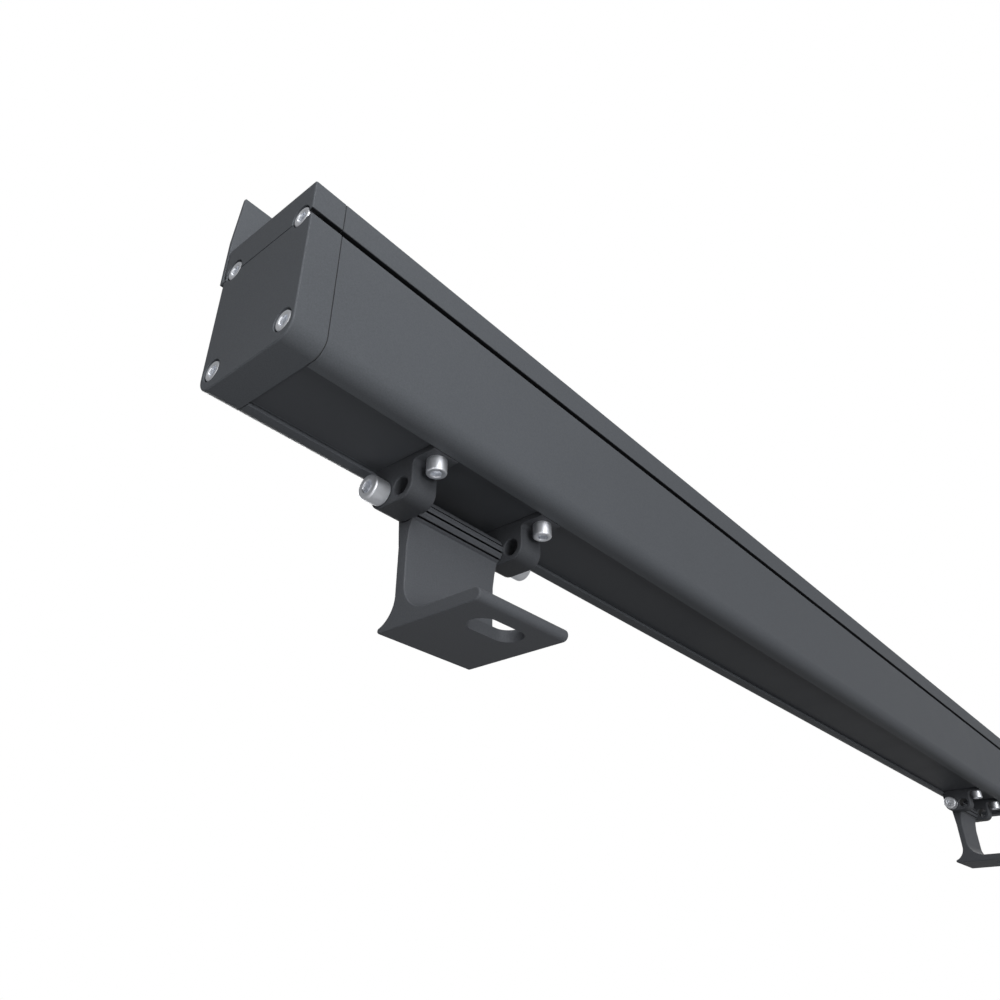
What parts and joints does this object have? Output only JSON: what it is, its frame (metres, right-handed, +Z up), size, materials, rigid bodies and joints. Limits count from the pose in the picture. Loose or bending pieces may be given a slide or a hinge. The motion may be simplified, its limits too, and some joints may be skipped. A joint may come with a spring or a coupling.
{
  "type": "outdoor wall washer light",
  "caption": "Long linear wall washer light with a glare visor, glass over a lens line, and tilting foot brackets with slotted feet.",
  "frame": {"origin": "on the mounting surface, under the middle of the whole object's box", "axes": "+X along the light towards the cable gland, +Y towards the visor side, +Z up, away from the mounting surface"},
  "size_m": [1.2202, 0.0688, 0.196],
  "materials": {
    "housing_paint": "dark grey fine textured powder coat",
    "cap_paint": "dark grey fine textured powder coat",
    "lug_paint": "dark grey powder coat over casting",
    "bracket_paint": "dark grey fine textured powder coat",
    "visor_paint": "dark grey fine textured powder coat",
    "stainless": "polished stainless",
    "washer_steel": "satin stainless",
    "sealing_rubber": "matt",
    "sleeve_plastic": "self lubricating polymer",
    "front_glass": "clear tempered",
    "lens_plastic": "clear moulded",
    "board_white": "white solder mask on aluminium core",
    "led_phosphor": "phosphor and silicone",
    "tray_sheet": "bare sheet",
    "driver_case": "satin case",
    "white_plastic": "moulded",
    "black_plastic": "moulded",
    "mains_wire": "sheathed wire",
    "led_wire": "sheathed wire",
    "earth_wire": "sheathed wire"
  },
  "bodies": {
    "near_foot": {"near_bracket": "bracket_paint", "near_pivot_screws": "stainless", "near_pivot_washers": "washer_steel", "near_friction_discs": "washer_steel"},
    "luminaire": {"housing": "housing_paint", "near_end_cap": "cap_paint", "far_end_cap": "cap_paint", "near_cap_gasket": "sealing_rubber", "far_cap_gasket": "sealing_rubber", "near_cap_screws": "stainless", "far_cap_screws": "stainless", "cover_glass": "front_glass", "glass_gasket": "sealing_rubber", "visor": "visor_paint", "near_outer_lug": "lug_paint", "near_inner_lug": "lug_paint", "far_inner_lug": "lug_paint", "far_outer_lug": "lug_paint", "lug_screws": "stainless", "lug_washers": "washer_steel", "pivot_sleeves": "sleeve_plastic", "led_board_1": "board_white", "led_board_2": "board_white", "led_board_3": "board_white", "led_board_4": "board_white", "leds_1": "led_phosphor", "leds_2": "led_phosphor", "leds_3": "led_phosphor", "leds_4": "led_phosphor", "lens_strip_1": "lens_plastic", "lens_strip_2": "lens_plastic", "lens_strip_3": "lens_plastic", "lens_strip_4": "lens_plastic", "board_screws": "stainless", "board_links": "white_plastic", "gear_tray": "tray_sheet", "near_driver": "driver_case", "far_driver": "driver_case", "driver_screws": "stainless", "terminal_block": "white_plastic", "mains_leads": "mains_wire", "led_leads": "led_wire", "earth_lead": "earth_wire", "earth_screw": "stainless", "cable_gland": "black_plastic", "gland_seal": "sealing_rubber", "gland_nut": "black_plastic", "gland_lock_nut": "washer_steel", "vent_plug": "black_plastic", "vent_nut": "washer_steel"},
    "far_foot": {"far_bracket": "bracket_paint", "far_pivot_screws": "stainless", "far_pivot_washers": "washer_steel", "far_friction_discs": "washer_steel"}
  },
  "joints": [
    {"name": "tilt", "type": "hinge", "parent": "near_foot", "child": "luminaire", "pos_m": [-0.46965, 0.01405, 0.062], "axis": [1, 0, 0], "range_deg": [-90, 90]},
    {"name": "far_tilt", "type": "hinge", "parent": "luminaire", "child": "far_foot", "pos_m": [0.44935, 0.01405, 0.062], "axis": [1, 0, 0], "range_deg": [-90, 90]}
  ],
  "couplings": [
    {"joint": "far_tilt", "follows": "tilt", "ratio": -1}
  ]
}
